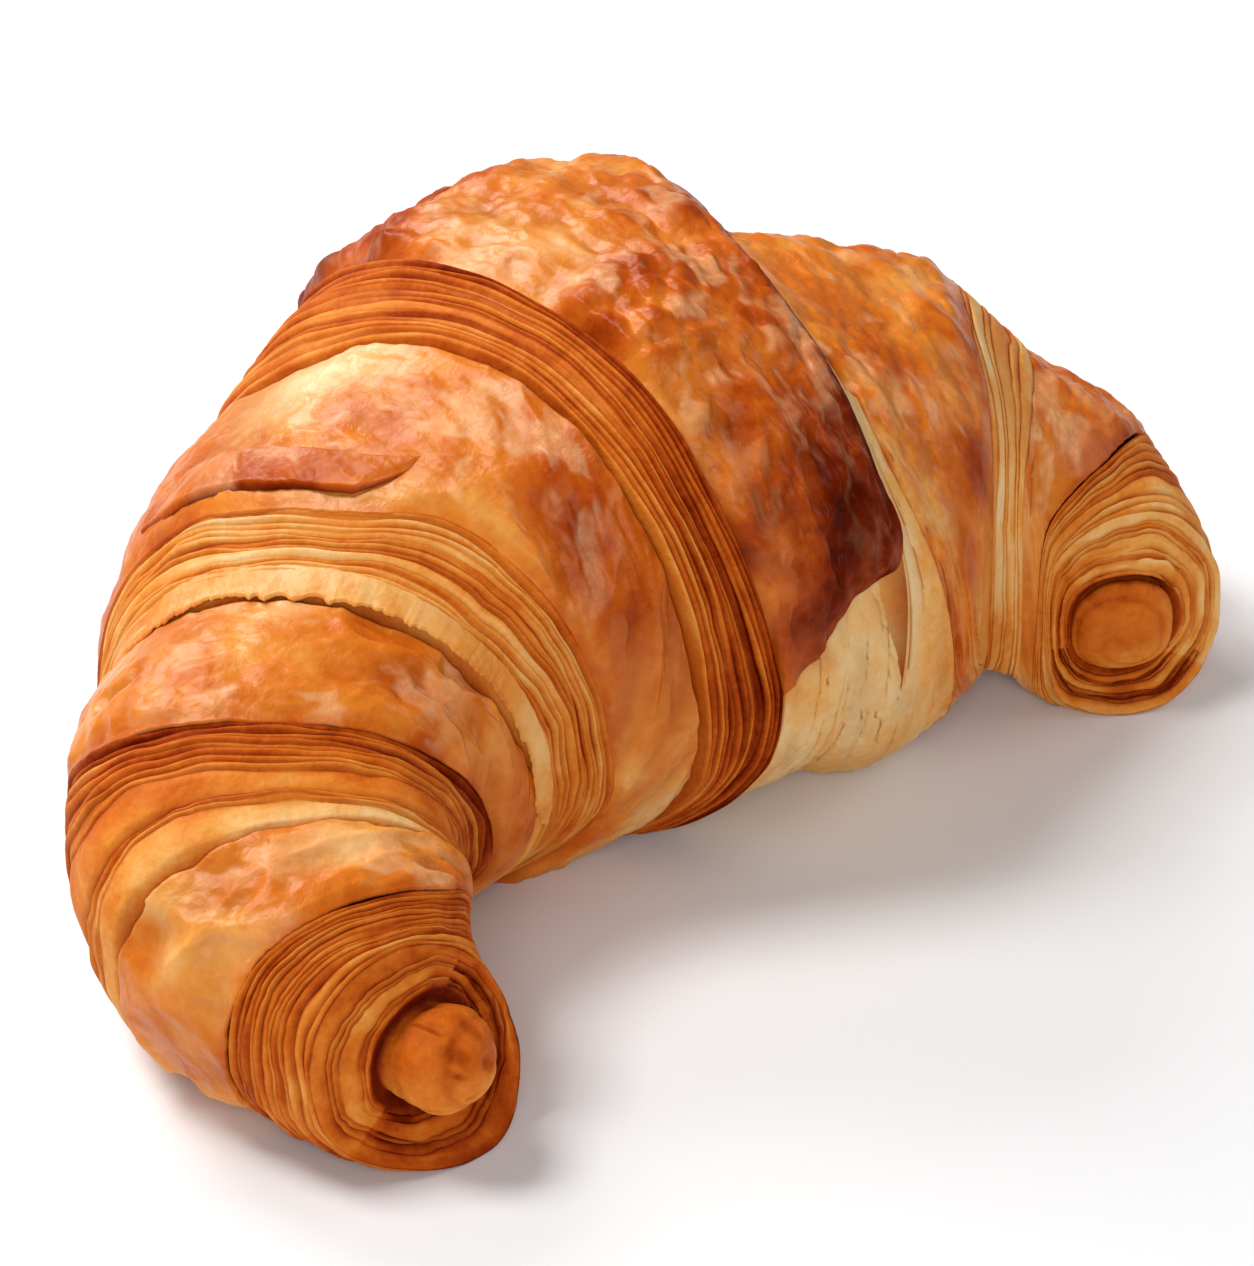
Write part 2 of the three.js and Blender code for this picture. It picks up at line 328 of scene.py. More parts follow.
def crustMaterial(name, look):
    material = bpy.data.materials.new(name)
    material.use_nodes = True
    tree = material.node_tree
    shader = tree.nodes["Principled BSDF"]
    own = addNode(tree, "ShaderNodeTexCoord").outputs["Object"]
    bake, groove, glaze, bloom = [addNode(tree, "ShaderNodeAttribute", attribute_name=key).outputs["Fac"]
                                  for key in ("bake", "groove", "glaze", "bloom")]
    mottle = noiseNode(tree, own, look["mottleScale"], 5, 0.6)
    patches = noiseNode(tree, own, look["mottleScale"] / 4, 3, 0.3)
    fine = noiseNode(tree, own, look["fineScale"], 3)
    # browning, pushed about by the mottling
    tone = bake
    for pattern, strength in ((mottle, look["mottle"]), (patches, crust["patches"]), (fine, look["fine"])):
        push = mathNode(tree, "MULTIPLY", mathNode(tree, "SUBTRACT", pattern, 0.5), strength)
        tone = mathNode(tree, "ADD", tone, push, pattern is fine)
    ramp = addNode(tree, "ShaderNodeValToRGB")
    stops = ramp.color_ramp.elements
    while len(stops) < len(crust["browning"]):
        stops.new(0.5)
    for stop, (position, colour) in zip(stops, crust["browning"]):
        stop.position = position
        stop.color = (*colour, 1)
    tree.links.new(tone, ramp.inputs["Fac"])
    # painted shade: creases go dark and reddish
    creaseShaded = addNode(tree, "ShaderNodeMix", data_type="RGBA", blend_type="MULTIPLY")
    tree.links.new(groove, creaseShaded.inputs["Factor"])
    tree.links.new(ramp.outputs["Color"], creaseShaded.inputs["A"])
    creaseShaded.inputs["B"].default_value = crust["creaseShadeTint"]
    # painted sheen: a pale colour mixed in over the grain, a painted highlight that stands in for the whitish
    # shine of the glaze
    bloomed = addNode(tree, "ShaderNodeMix", data_type="RGBA")
    grain = mathNode(tree, "MULTIPLY", fine, crust["bloomGrain"])
    tree.links.new(mathNode(tree, "MULTIPLY", bloom, grain, True), bloomed.inputs["Factor"])
    tree.links.new(creaseShaded.outputs["Result"], bloomed.inputs["A"])
    bloomed.inputs["B"].default_value = crust["bloomColour"]
    tree.links.new(bloomed.outputs["Result"], shader.inputs["Base Color"])
    # shinier where the egg wash pooled, broken up by the grain
    shine = mathNode(tree, "MULTIPLY", glaze, mathNode(tree, "SUBTRACT", crust["shineFrom"], mottle))
    rough = addNode(tree, "ShaderNodeMapRange", {"To Min": look["roughHigh"], "To Max": look["roughLow"]})
    tree.links.new(shine, rough.inputs["Value"])
    tree.links.new(rough.outputs["Result"], shader.inputs["Roughness"])
    small = noiseNode(tree, own, look["mottleScale"] * 2.2, 4, 0.4)
    bumpSmall = addNode(tree, "ShaderNodeBump",
                        {"Strength": look["bumpSmall"], "Distance": crust["smallDepth"]})
    tree.links.new(small, bumpSmall.inputs["Height"])
    bumpFine = addNode(tree, "ShaderNodeBump",
                       {"Strength": look["bumpFine"], "Distance": crust["fineDepth"]})
    tree.links.new(fine, bumpFine.inputs["Height"])
    tree.links.new(bumpSmall.outputs["Normal"], bumpFine.inputs["Normal"])
    tree.links.new(bumpFine.outputs["Normal"], shader.inputs["Normal"])
    loss = mathNode(tree, "MULTIPLY", tone, crust["reflectLoss"])
    reflect = mathNode(tree, "SUBTRACT", crust["reflect"], loss, True)
    tree.links.new(reflect, shader.inputs["Specular IOR Level"])
    shader.inputs["Specular Tint"].default_value = crust["reflectTint"]
    shader.inputs["Coat Weight"].default_value = look["coat"]
    shader.inputs["Coat Roughness"].default_value = look["coatRough"]
    shader.inputs["Coat IOR"].default_value = crust["coatIor"]
    return material


skinMaterial = crustMaterial("glazedSkin", glazedSkin)
layerMaterial = crustMaterial("layeredDough", layeredDough)
print("materials made")

# The roll is built from columns of points, each with a station, a radius, a bake, a painted crease shade and
# a glaze.
# Under the skins its columns run on hidden, skinSink lower than the edges.
rollMesh = {
    "rows": 300, "skinSink": 3.0, "hiddenBake": 0.6, "hiddenCreaseShade": 0.5, "plainGlaze": 0.2,
    "bandGlaze": 0.15, "lumps": 0.4, "lumpSize": 9,
    # rows lie close together where they show and wide apart underneath: (share of the rows, angle)
    "rowAngles": [(0, -42), (0.88, 222), (1, 318)],
}
# the sheets of dough in each layered edge, from its crest down: how wide, how far they stand out, how brown
# at the crest and the foot, and how much painted shade darkens them round towards the inner side (a minus
# makes it paler)
layerSets = {
    "l1": {"widths": [0.7, 0.8, 1, 0.8, 1.1, 0.7, 0.8, 1.2, 0.7, 0.9, 0.8, 1.2, 1.1],
           "relief": 1.0, "bake": (0.66, 0.42), "innerShade": 0.1, "seed": 1},
    "l2": {"widths": [1.2, 0.9, 0.7, 0.9, 0.8, 1, 0.7, 1.6, 0.7, 1, 0.8, 1.2, 1.8],
           "relief": 0.9, "bake": (0.42, 0.24), "innerShade": 0.08, "seed": 2},
    "l3": {"widths": [0.7, 0.7, 0.6, 0.7, 0.6, 0.8, 0.7, 0.8, 3.4, 0.6, 0.7, 2.8],
           "relief": 1.0, "bake": (0.64, 0.34), "innerShade": 0.05, "seed": 3},
    "l4": {"widths": [0.9, 0.7, 1, 0.7, 0.9, 1.2, 0.7, 0.8, 0.7, 1.1, 1.4, 0.9],
           "relief": 0.75, "bake": (0.58, 0.42), "innerShade": 0.08, "hollow": 3.2, "seed": 4},
    "leftFace": {"widths": [2.4, 0.8, 0.7, 2.4, 0.8, 0.7],
                 "relief": 0.7, "bake": (0.48, 0.62), "innerShade": 0.14, "seed": 5},
    "r1": {"widths": [1, 3, 1.2, 3], "relief": 0.5, "bake": (0.24, 0.14), "innerShade": 0, "seed": 6},
    "r2": {"widths": [1, 2, 0.9, 2.2, 1, 1.6],
           "relief": 0.6, "bake": (0.38, 0.27), "innerShade": -0.06, "seed": 7},
    "r3": {"widths": [0.8, 0.7, 0.9, 0.7, 0.8, 1.6, 0.7, 0.7],
           "relief": 0.7, "bake": (0.5, 0.34), "innerShade": -0.05, "seed": 8},
    "rightFace": {"widths": [2.2, 0.6, 0.6, 0.7, 2.2, 0.7, 0.6, 1.7, 0.7],
                  "relief": 0.8, "bake": (0.38, 0.48), "innerShade": 0.16, "seed": 9},
}
# a thin or thick sheet in a layered edge: the steps across it and how far it stands out at each
layerShapes = {
    "thin": {"steps": [0, 0.14, 0.36, 0.62, 0.86], "heights": [-1, 0.25, 0.9, 1, 0.3], "paler": 0},
    "thick": {"steps": [0, 0.06, 0.18, 0.38, 0.6, 0.8, 0.94], "heights": [-1, 0.2, 0.8, 1, 1, 0.85, 0.2],
              "paler": 0.08},
    "thickFrom": 1.5,
}
# noise that runs round a layered edge: how strong, how fine, how much it changes from one sheet to the next
layerNoise = {
    "width": {"strength": 0.75, "fineness": 1.5, "change": 1.37, "start": 0},
    "relief": {"strength": 0.85, "fineness": 3, "change": 2.1, "start": 3},
    "crackShade": {"strength": 0.75, "fineness": 2.6, "change": 1.9, "start": 6},
    "lift": {"strength": 0.5, "fineness": 1.6, "change": 3.3, "start": 5},
    "tone": {"strength": 0.16, "fineness": 2.2, "change": 2.9, "start": 8},
    "fibre": {"strength": 1, "fineness": 2.4, "change": 1.9, "start": 0},
}


def ringNoise(kind, around, sheet, seed, octaves=3):
    look = layerNoise[kind]
    ringX, ringY = np.cos(np.radians(around)), np.sin(np.radians(around))
    fineness = look["fineness"]
    level = sheet * look["change"] + seed + look["start"]
    return look["strength"] * cloud(ringX * fineness, ringY * fineness, level, octaves)


# a layered edge as columns of points: each sheet has a low start, a rounded lip and a slope down to the next
def bandColumns(crest, foot, crestRadius, footRadius, layers, around):
    relief, seed = layers["relief"], layers["seed"] * 7.7
    # sheets pinch out and swell again along the edge, without ever crossing
    widths = np.array([width * np.exp(ringNoise("width", around, i, seed, 4))
                       for i, width in enumerate(layers["widths"])])
    bounds = np.concatenate([np.zeros((1, len(around))), np.cumsum(widths, 0)]) / widths.sum(0)
    hollow = layers.get("hollow", 0) * softStep(around, 135, 172) * (1 - softStep(around, 200, 240))
    columns = []
    for i, width in enumerate(layers["widths"]):
        shape = layerShapes["thick" if width > layerShapes["thickFrom"] else "thin"]
        out = relief * np.clip(0.6 + ringNoise("relief", around, i, seed), 0.08, 1.5)
        crackShade = np.clip(0.62 + ringNoise("crackShade", around, i, seed), 0.1, 1)
        lift = relief * ringNoise("lift", around, i, seed)
        tone = ringNoise("tone", around, i, seed) + 0.09 * noiseBlock[i, 3, layers["seed"]]
        # painted shade: darker round towards the inner side
        tone = tone - shape["paler"] + layers["innerShade"] * softStep(around, 80, 190)
        for step, height in zip(shape["steps"], shape["heights"]):
            share = mix(bounds[i], bounds[i + 1], step)
            fibre = ringNoise("fibre", around, i + step, seed)
            if i == 0 and step == 0:
                height = 0
            radius = mix(crestRadius, footRadius, share) + height * out * 0.5 + lift + 0.3 * relief * fibre
            radius = radius - hollow * archOver(share)
            # painted shade makes it darkest in the crack where a sheet starts, and painted light palest on
            # its lip
            bake = mix(*layers["bake"], share) + tone - 0.16 * fibre
            bake = bake + (0.12 * crackShade if step == 0 else -0.05 * height)
            groove = crackShade if step == 0 else (0.4 * crackShade if height < 0.4 else 0.0)
            columns.append((mix(crest, foot, share), radius, bake, groove, rollMesh["bandGlaze"]))
    return columns


# a plain stretch as columns of points; its last column is the first of what follows
def plainColumns(fromStation, toStation, fromRadius, toRadius, count, bake, groove=0.0):
    shares = [k / count for k in range(count)]
    return [(mix(fromStation, toStation, share), mix(fromRadius, toRadius, share), bake, groove,
             rollMesh["plainGlaze"]) for share in shares]


# the rounded end of the innermost turn at each tip: it reaches out from middle, and dimples roughen it
cores = {
    "columns": 22, "winding": 2.4, "windingWidth": 0.22, "windingDepth": 0.35, "bake": 0.44, "glaze": 0.5,
    "left": {"side": -1, "middle": 93.2, "reach": 6.3, "radius": 6.2, "sweep": 2.1, "dimples": 0.5},
    "right": {"side": 1, "middle": 76.8, "reach": 3.2, "radius": 6.6, "sweep": 1.9, "dimples": 0.15},
}


# columns of a core, from its tip back to where it goes into the swirl
def coreColumns(arm, around):
    core = cores[arm]
    side = core["side"]
    ringX, ringY = np.cos(np.radians(around)), np.sin(np.radians(around))
    columns = []
    for k in range(cores["columns"]):
        angle = k / cores["columns"] * core["sweep"]
        x, y = ringX * np.sin(angle), ringY * np.sin(angle)
        dent = 0.35 * cloud(x * 1.6, y * 1.6, side * 3.3 + np.cos(angle), 2)
        dimple = bumps(x * 2.2 + 9 + 0.3 * dent, y * 2.2 + 9, 1.0, 21 + side, 0.3)
        dent = dent - core["dimples"] * dimple ** 1.5
        # the last turn of the dough winds in as a shallow spiral
        turns = np.radians(around) / (2 * np.pi) - angle / core["sweep"] * cores["winding"]
        winding = np.abs(turns - np.rint(turns)) * 2
        spiral = np.exp(-(winding / cores["windingWidth"]) ** 2) * np.clip(angle * 1.6, 0, 1)
        dent = dent - cores["windingDepth"] * spiral
        station = side * (core["middle"] + (core["reach"] + dent) * np.cos(angle))
        radius = (core["radius"] + dent * 0.6) * np.sin(angle)
        # painted shade: darker in its dents and dimples, which also get painted crease shade; darker towards
        # the top
        bake = cores["bake"] - 0.16 * dent - 0.08 * np.sin(np.radians(around - 180))
        columns.append((station, radius, bake, np.clip(-dent * 0.6, 0, 0.5), cores["glaze"]))
    return columns


# turns columns of points into one closed piece, with a pole at each end
def makeRoll(name, columns, around, drop):
    count, rows = len(columns), len(around)
    station, radius, bake, groove, glaze = [np.stack([np.broadcast_to(column[k], rows) for column in columns])
                                            for k in range(5)]
    points = place(station, around[None, :], radius)
    lumps = cloud(*(points[..., k] / rollMesh["lumpSize"] for k in range(3)), 2)
    points = place(station, around[None, :], radius + rollMesh["lumps"] * lumps * np.clip(radius / 8, 0, 1))
    # the swirl at the tip hangs a little
    points[..., 2] -= drop * np.clip(1 - radius / 11, 0, 1) * (np.abs(station) > 60)
    points[0] = points[0].mean(0)
    points[-1] = points[-1].mean(0)
    print(name, count, "columns,", rows, "rows,", 2 * (count - 2) * rows, "triangles")
    bpy.ops.mesh.primitive_uv_sphere_add(segments=rows, ring_count=count - 1, radius=1)
    piece = bpy.context.object
    ball = np.empty(len(piece.data.vertices) * 3, np.float32)
    piece.data.vertices.foreach_get("co", ball)
    ball = ball.reshape(-1, 3)
    column = np.rint(np.arccos(np.clip(ball[:, 2], -1, 1)) / np.pi * (count - 1)).astype(int)
    row = np.rint(np.arctan2(ball[:, 1], ball[:, 0]) / (2 * np.pi) * rows).astype(int) % rows
    piece.data.vertices.foreach_set("co", (points[column, row] * mm).astype(np.float32).ravel())
    surface = {"bake": bake[column, row], "groove": groove[column, row], "glaze": glaze[column, row],
               "bloom": np.zeros(len(row))}
    finishPiece(piece, name, surface, layerMaterial)


around = np.interp(np.arange(rollMesh["rows"]) / rollMesh["rows"], *zip(*rollMesh["rowAngles"]))
line = {name: edgeAt(name, around) for name in edges}
lineDepth = {name: radius + trimAt(name, around) for name, radius in lineRadius.items()}
rim = {side: np.interp(around % 360, *zip(*points)) for side, points in rimRadius.items()}
# the lower inner side of a tip, where the outer turn reaches further over the core
cuff = softStep(np.cos(np.radians(around - 230)), -0.2, 1)


# the columns that run on under a skin, from one edge line to the next
def hiddenColumns(start, end, count):
    startDepth, endDepth = [lineDepth[name] - rollMesh["skinSink"] for name in (start, end)]
    bake, groove = rollMesh["hiddenBake"], rollMesh["hiddenCreaseShade"]
    columns = plainColumns(line[start], line[end], startDepth, endDepth, count, bake, groove)
    return columns + [(line[end], endDepth, bake, groove, 0)]


# left half: core, the hollow round it, darkened with painted shade, the face of the swirl, then the layered
# edges up to the middle
leftSwirl = {"inner": 90.2, "cuff": 1.4, "innerRadius": 7.6, "core": 89.6, "coreRadius": 5.6, "columns": 5,
             "bake": 0.74, "groove": 0.85}
inner = -(leftSwirl["inner"] + leftSwirl["cuff"] * cuff)
leftColumns = coreColumns("left", around)
leftColumns += plainColumns(-leftSwirl["core"], inner, leftSwirl["coreRadius"], leftSwirl["innerRadius"],
                            leftSwirl["columns"], leftSwirl["bake"], leftSwirl["groove"])
leftColumns += bandColumns(line["leftRim"], inner, rim["left"], leftSwirl["innerRadius"],
                           layerSets["leftFace"], around)[::-1]
for name, foot, nextFoot in [("l4", "leftRim", "l3foot"), ("l3", "l3foot", "l2foot"),
                             ("l2", "l2foot", "l1foot"), ("l1", "l1foot", None)]:
    crest = name + "crest"
    footRadius = lineDepth.get(foot, rim["left"])
    leftColumns += bandColumns(line[crest], line[foot], lineDepth[crest], footRadius, layerSets[name],
                               around)[::-1]
    if nextFoot:
        leftColumns += hiddenColumns(crest, nextFoot, 1)
# it ends inside the middle of the right half; under is where the pale dough shows past its crest
leftInside = {"ease": 12, "easeRadius": 36.8, "easeColumns": 4, "sunk": 1.6, "end": 12, "radius": 36,
              "bake": 0.4}
under = softStep(around, 178, 188)
eased = line["l1crest"] + leftInside["ease"]
crestRadius = lineRadius["l1crest"] - leftInside["sunk"] * (1 - 0.7 * under)
leftEnd = leftInside["end"]
leftColumns += plainColumns(line["l1crest"], eased, crestRadius, leftInside["easeRadius"],
                            leftInside["easeColumns"], mix(0.42, 0.16, under))
leftColumns += plainColumns(eased, leftEnd, leftInside["easeRadius"], leftInside["radius"], 1, 0.3)
leftColumns += plainColumns(leftEnd, leftEnd, leftInside["radius"], 0, 2, leftInside["bake"])
leftColumns.append((leftEnd, 0, leftInside["bake"], 0, 0))

# right half: from inside the middle out to the swirl
rightInside = {"end": 4, "radius": 36, "sunk": 1.6, "columns": 4, "bake": 0.4}
rightColumns = plainColumns(rightInside["end"], rightInside["end"], 0, rightInside["radius"],
                            rightInside["columns"], rightInside["bake"])
rightColumns += plainColumns(rightInside["end"], line["r1crest"], rightInside["radius"],
                             lineDepth["r1crest"] - rightInside["sunk"], rightInside["columns"],
                             mix(rightInside["bake"], 0.14, softStep(around, 110, 135)))
for name, foot, nextCrest in [("r1", "r1foot", "r2crest"), ("r2", "r2foot", "r3crest"),
                              ("r3", "rightRim", None)]:
    crest = name + "crest"
    footRadius = lineDepth.get(foot, rim["right"])
    rightColumns += bandColumns(line[crest], line[foot], lineDepth[crest], footRadius, layerSets[name],
                                around)
    if nextCrest:
        rightColumns += hiddenColumns(foot, nextCrest, 2)
rightSwirl = {"inner": 77.2, "cuff": 0.8, "innerRadius": 7.5, "core": 76.2, "coreRadius": 6.2, "gap": 1.6,
              "columns": 5, "bake": 0.62, "groove": (0.3, 0.6)}
# the hollow is deepest in the gap above the core, and its painted shade darkest there
gap = softStep(np.cos(np.radians(around - 95)), 0.2, 1)
inner = rightSwirl["inner"] + rightSwirl["cuff"] * cuff
rightColumns += bandColumns(line["rightRim"], inner, rim["right"], rightSwirl["innerRadius"],
                            layerSets["rightFace"], around)
rightColumns += plainColumns(inner, rightSwirl["core"] - rightSwirl["gap"] * gap, rightSwirl["innerRadius"],
                             rightSwirl["coreRadius"], rightSwirl["columns"], rightSwirl["bake"],
                             rightSwirl["groove"][0] + rightSwirl["groove"][1] * gap)
rightColumns += coreColumns("right", around)[::-1]


def deselectAll():
    bpy.ops.object.select_all(action="DESELECT")


# how many millimetres the swirl at each tip hangs
hang = {"left": 0.3, "right": 3.4}
deselectAll()
makeRoll("leftLayers", leftColumns, around, hang["left"])
deselectAll()
makeRoll("rightLayers", rightColumns, around, hang["right"])

# The glazed skins and torn sheets that lie over the layers. Each runs from a start line to an end line of the
# edges, shifted along the arm, and from one angle round the roll to another.
plainSkin = {
    # where it lies and how it stands off the roll
    "startShift": 0, "endShift": 0, "from": -72, "to": 252, "rise": 0.1, "swell": 0.8, "sunk": 0,
    "taper": 0, "lumps": 0.9,
    # wrinkles, blisters and dimples
    "wrinkle": 0.28, "fold": (3.6, 9), "crinkle": 0.16, "streak": 0, "blisterSize": 5, "spread": 0.55,
    "dimpleSize": 7, "dimpleLong": 1.8,
    # its torn end and thickness
    "ragged": 0.5, "jagged": 0, "curl": 0.1, "thickness": 1.0,
    # its colour and shine; shade is painted shade that darkens it where it comes out from under another
    # sheet, and the painted sheen is a painted highlight on its top
    "edgeBake": 0.1, "shade": 1, "glaze": 0.85, "bloom": 0.62, "patches": [], "material": "skin",
}
# patches are browner or paler spots: (share along, angle, size along, size round, change). They are partly
# real browning
# and partly painted light and shade: the paler ones near the top paint light, the darker ones low on the
# inner side paint shade.
sheets = {
    "middleSkin": {
        "start": "l1crest", "end": "tail", "radii": (38.3, 38.2), "to": 188.6, "columns": 128, "rows": 372,
        "lift": (0.2, 0.6), "rise": 0.2, "swell": 1.0, "lumps": 1.2, "wrinkle": 0.7, "fold": (4.4, 6.5),
        "crinkle": 0.2, "blister": 1.5, "blisterSize": 5.4, "spread": 0.75, "dimple": 0.6, "dimpleSize": 5,
        "ragged": 0.6, "thickness": 1.3, "bake": 0.56, "shade": 0, "seed": 3,
        "patches": [(0.55, 160, 0.5, 22, 0.3), (0.3, 88, 0.6, 26, -0.1), (1, 128, 0.14, 40, 0.14),
                    (0.5, 60, 0.6, 20, -0.1), (0.75, 132, 0.4, 20, 0.1), (0.3, 116, 0.3, 16, -0.2)],
    },
    "leftSkinOne": {
        "start": "l1foot", "startShift": 0.2, "end": "l2crest", "endShift": 0.6, "radii": (34.9, 30.2),
        "columns": 100, "rows": 360, "lift": (-1.5, 0.8), "rise": 0.06, "wrinkle": 0.3, "crinkle": 0.08,
        "blister": 0.4, "dimple": 0.9, "dimpleLong": 2.4, "bake": 0.46, "seed": 7,
        "patches": [(0.16, 66, 0.3, 17, -0.36), (0.5, 146, 0.5, 25, 0.03), (0.6, 78, 0.4, 22, -0.08),
                    (0.95, 90, 0.16, 50, -0.2), (0.5, 205, 0.6, 16, -0.14)],
    },
    "burntFlap": {
        "start": "l2crest", "startShift": 6.5, "end": "l2crest", "endShift": -1.0, "radii": (32.0, 30.9),
        "from": 24, "to": 99, "columns": 40, "rows": 220, "lift": (-0.4, 1.4), "rise": 0.25, "swell": 0.5,
        "taper": 0.22, "lumps": 0.3, "wrinkle": 0.3, "blister": 0.2, "dimple": 0.1, "curl": 0.4,
        "thickness": 0.7, "bake": 0.56, "edgeBake": 0.26, "shade": 0, "glaze": 0.7, "seed": 9,
    },
    "leftSkinTwo": {
        "start": "l2foot", "startShift": 0.2, "end": "l3crest", "radii": (24.8, 22.3), "columns": 80,
        "rows": 300, "lift": (-2.0, 0.5), "wrinkle": 0.3, "crinkle": 0.08, "blister": 0.4,
        "blisterSize": 4.4, "dimple": 1.4, "dimpleSize": 5.2, "dimpleLong": 2.6, "bake": 0.44, "seed": 13,
        "patches": [(0.1, 60, 0.35, 40, -0.1), (0.5, 85, 0.5, 25, -0.08), (0.5, 150, 0.5, 25, 0.06)],
    },
    "leftSkinThree": {
        "start": "l3foot", "startShift": 0.2, "end": "l4crest", "radii": (18.8, 17.0), "columns": 70,
        "rows": 260, "lift": (-1.8, 0.5), "swell": 0.6, "wrinkle": 0.3, "crinkle": 0.08, "blister": 0.4,
        "blisterSize": 3.8, "dimple": 1.4, "dimpleSize": 4.4, "dimpleLong": 2.3, "bake": 0.4, "seed": 19,
        "patches": [(0.9, 90, 0.25, 50, 0.1), (0.3, 95, 0.4, 25, -0.1)],
    },
    "paleDough": {
        "start": "l1crest", "startShift": 1.5, "end": "r1foot", "radii": (37.0, 33.2), "from": 128,
        "to": 250, "columns": 70, "rows": 150, "lift": (0.0, 0.1), "swell": 2.4, "sunk": 4.5, "lumps": 0.6,
        "wrinkle": 0.1, "fold": (1.6, 14), "streak": 0.4, "blister": 0, "dimple": 0, "ragged": 0.4,
        "bake": 0.1, "edgeBake": 0.05, "shade": 0, "glaze": 0.15, "seed": 37, "material": "layer",
    },
    "rightSkinOne": {
        "start": "r1foot", "startShift": -0.8, "end": "r2crest", "radii": (32.8, 26.0), "columns": 100,
        "rows": 320, "lift": (-0.7, 0.5), "wrinkle": 0.5, "fold": (4.8, 7), "blister": 1.1,
        "blisterSize": 5.2, "spread": 0.62, "dimple": 0.6, "bake": 0.43, "seed": 23,
        "patches": [(0.84, 141, 0.13, 12, 0.3), (0.62, 158, 0.13, 13, 0.2), (0.1, 95, 0.2, 20, -0.12),
                    (0.4, 190, 0.6, 20, -0.12), (0.45, 70, 0.5, 16, -0.08), (0.5, 112, 0.3, 14, 0.1)],
    },
    "rightSkinTwo": {
        "start": "r2foot", "startShift": -0.8, "end": "r3crest", "radii": (20.9, 17.5), "columns": 60,
        "rows": 240, "lift": (-0.8, 0.5), "swell": 0.4, "blister": 0.5, "blisterSize": 3, "dimple": 0.4,
        "dimpleSize": 4, "bake": 0.37, "seed": 29,
        "patches": [(0.9, 80, 0.3, 30, 0.1)],
    },
    "tornSheetLeft": {
        "start": "l2foot", "startShift": 3.4, "end": "l2foot", "endShift": 1.2, "radii": (26.2, 24.9),
        "from": 10, "to": 200, "columns": 40, "rows": 460, "lift": (-0.4, 1.1), "rise": 0.25, "swell": 0.2,
        "taper": 0.16, "lumps": 0.3, "wrinkle": 0.2, "blister": 0.1, "dimple": 0.1, "ragged": 3.4,
        "jagged": 0.55, "curl": 0.7, "thickness": 0.35, "bake": 0.24, "edgeBake": 0.08, "shade": 0,
        "glaze": 0.25, "bloom": 0, "seed": 31,
    },
}


